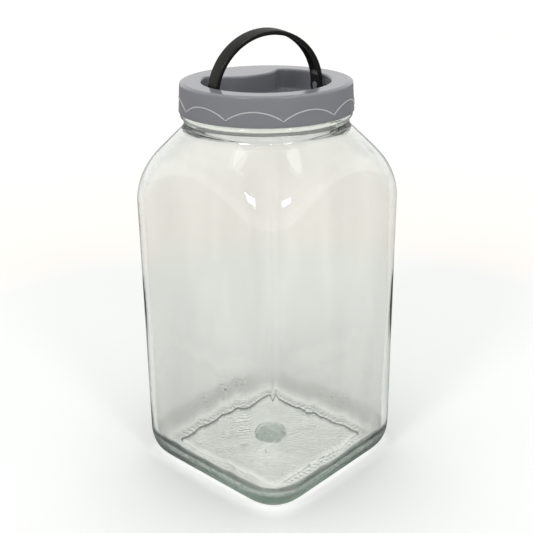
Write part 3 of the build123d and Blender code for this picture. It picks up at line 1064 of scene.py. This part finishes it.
def stage_light(name, azimuth, elevation, distance, width, height, watts):
    """Softbox that faces the jug; azimuth 0 is the -Y side and 90 the +X side."""
    data = bpy.data.lights.new(name, "AREA")
    data.shape, data.size, data.size_y, data.energy = "RECTANGLE", width, height, watts
    light = bpy.data.objects.new(name, data)
    turn, rise = math.radians(azimuth), math.radians(elevation)
    away = Vector((
        math.sin(turn) * math.cos(rise), -math.cos(turn) * math.cos(rise), math.sin(rise)
    ))
    light.location = Vector((0, 0, 0.15)) + away * distance
    light.rotation_mode = "QUATERNION"
    light.rotation_quaternion = away.to_track_quat("Z", "Y")
    bpy.context.scene.collection.objects.link(light)
    return light


def add_world():
    """Soft surround: white at the horizon, greyer part way up; mirrors see a top that stays grey."""
    world = bpy.data.worlds.new("Studio")
    bpy.context.scene.world = world
    world.use_nodes = True
    tree = world.node_tree
    place = tree.nodes.new("ShaderNodeTexCoord")
    split = tree.nodes.new("ShaderNodeSeparateXYZ")
    tree.links.new(place.outputs["Generated"], split.inputs[0])

    def tone_ramp(tones):
        ramp = tree.nodes.new("ShaderNodeValToRGB")
        while len(ramp.color_ramp.elements) < len(tones):
            ramp.color_ramp.elements.new(0.5)
        for stop, (place_z, tone) in zip(ramp.color_ramp.elements, tones):
            stop.position = place_z
            stop.color = (tone, tone, tone, 1)
        tree.links.new(split.outputs["Z"], ramp.inputs["Fac"])
        return ramp

    lit = tone_ramp(((0.0, 1.0), (0.14, 1.0), (0.32, 0.75), (0.60, 0.75), (0.85, 1.0)))
    mirrored = tone_ramp(((0.0, 0.98), (0.22, 0.98), (0.36, 0.70), (0.66, 0.66), (0.92, 0.6)))
    path = tree.nodes.new("ShaderNodeLightPath")
    choose = tree.nodes.new("ShaderNodeMix")
    choose.data_type = "RGBA"
    tree.links.new(path.outputs["Is Glossy Ray"], choose.inputs[0])
    tree.links.new(lit.outputs["Color"], choose.inputs[6])
    tree.links.new(mirrored.outputs["Color"], choose.inputs[7])
    tree.links.new(choose.outputs[2], tree.nodes["Background"].inputs["Color"])
    tree.nodes["Background"].inputs["Strength"].default_value = 1.0


def add_camera():
    """Camera above the front corner of the jug, looking down a little."""
    azimuth, pitch, pan, roll = (math.radians(d) for d in (CAMERA_AZIMUTH, 21.775, 0.113, 0.699))
    distance, height = 614.84 * MM, 391.81 * MM
    turn = Matrix.Rotation(azimuth, 3, "Z")
    level = Vector((-math.sin(pan), math.cos(pan), 0)) * math.cos(pitch)
    forward = turn @ (level - Vector((0, 0, math.sin(pitch))))
    right = turn @ Vector((math.cos(pan), math.sin(pan), 0))
    up = right.cross(forward)
    spin = Matrix.Rotation(roll, 3, forward)
    right, up = spin @ right, spin @ up
    data = bpy.data.cameras.new("Camera")
    data.sensor_width, data.lens = 36.0, 63.19
    data.clip_start, data.clip_end = 0.01, 50.0
    camera = bpy.data.objects.new("Camera", data)
    frame_of_view = Matrix((right, up, -forward)).transposed().to_4x4()
    frame_of_view.translation = turn @ Vector((0, -distance, height))
    camera.matrix_world = frame_of_view
    bpy.context.scene.collection.objects.link(camera)
    bpy.context.scene.camera = camera


def add_floor(name, height, material):
    """Round floor at the given height, with its material."""
    bm = bmesh.new()
    bmesh.ops.create_circle(bm, cap_ends=True, cap_tris=True, segments=96, radius=9.0)
    bmesh.ops.translate(bm, verts=bm.verts, vec=(0, 0, height))
    mesh = bpy.data.meshes.new(name)
    bm.to_mesh(mesh)
    bm.free()
    mesh.materials.append(material)
    floor = bpy.data.objects.new(name, mesh)
    bpy.context.scene.collection.objects.link(floor)
    return floor


class JUG_OT_stage(bpy.types.Operator):
    """Pale floor, soft surround, softboxes and camera"""
    bl_idname = "jug.stage"
    bl_label = "Stage"

    def execute(self, context):
        stage = context.scene.jug_stage
        floor = add_floor("floor", -0.05 * MM, floor_material(stage))
        floor.visible_glossy = False
        mirrored = bpy.data.materials.new("Floor in reflections")
        mirrored.use_nodes = True
        shader = mirrored.node_tree.nodes["Principled BSDF"]
        shader.inputs["Base Color"].default_value = (*stage.mirrored_floor, 1.0)
        shader.inputs["Roughness"].default_value = 0.9
        shown = add_floor("floor_in_reflections", -0.1 * MM, mirrored)
        shown.visible_camera = shown.visible_diffuse = False
        shown.visible_transmission = shown.visible_shadow = False
        add_world()
        stage_light("Key softbox", CAMERA_AZIMUTH - 33, 38, 1.5, 0.30, 0.26, stage.key_power)
        stage_light("Fill softbox", CAMERA_AZIMUTH + 30, 38, 1.5, 0.26, 0.24, stage.fill_power)
        stage_light("Top softbox", CAMERA_AZIMUTH + 180, 78, 1.6, 1.4, 1.4, stage.top_power)
        add_camera()
        context.scene.view_settings.view_transform = "Standard"
        return {"FINISHED"}


# --- panel, registration and the build -----------------------------------------------------

class JUG_PT_panel(bpy.types.Panel):
    """Sizes, colours and the steps that build the jug"""
    bl_idname = "JUG_PT_panel"
    bl_label = "Glass jug"
    bl_space_type = "VIEW_3D"
    bl_region_type = "UI"
    bl_category = "Jug"

    def draw(self, context):
        for operator in OPERATORS:
            self.layout.operator(operator.bl_idname)
        for group in SETTINGS:
            settings = getattr(context.scene, group)
            box = self.layout.box()
            for name in settings.__annotations__:
                box.prop(settings, name)


SETTINGS = {
    "jug_jar": JugJarSizes,
    "jug_lid": JugLidSizes,
    "jug_handle": JugHandleSizes,
    "jug_finishes": JugFinishes,
    "jug_stage": JugStage,
}
OPERATORS = (JUG_OT_stage, JUG_OT_glass_jar, JUG_OT_liner, JUG_OT_lid, JUG_OT_handle)


def register():
    for group in SETTINGS.values():
        bpy.utils.register_class(group)
    for operator in OPERATORS:
        bpy.utils.register_class(operator)
    bpy.utils.register_class(JUG_PT_panel)
    for name, group in SETTINGS.items():
        setattr(bpy.types.Scene, name, bpy.props.PointerProperty(type=group))


def unregister():
    for name in SETTINGS:
        delattr(bpy.types.Scene, name)
    bpy.utils.unregister_class(JUG_PT_panel)
    for operator in reversed(OPERATORS):
        bpy.utils.unregister_class(operator)
    for group in reversed(list(SETTINGS.values())):
        bpy.utils.unregister_class(group)


def main():
    register()
    bpy.ops.jug.stage()
    bpy.ops.jug.glass_jar()
    bpy.ops.jug.liner()
    bpy.ops.jug.lid()
    bpy.ops.jug.handle()


if __name__ == "__main__":
    main()
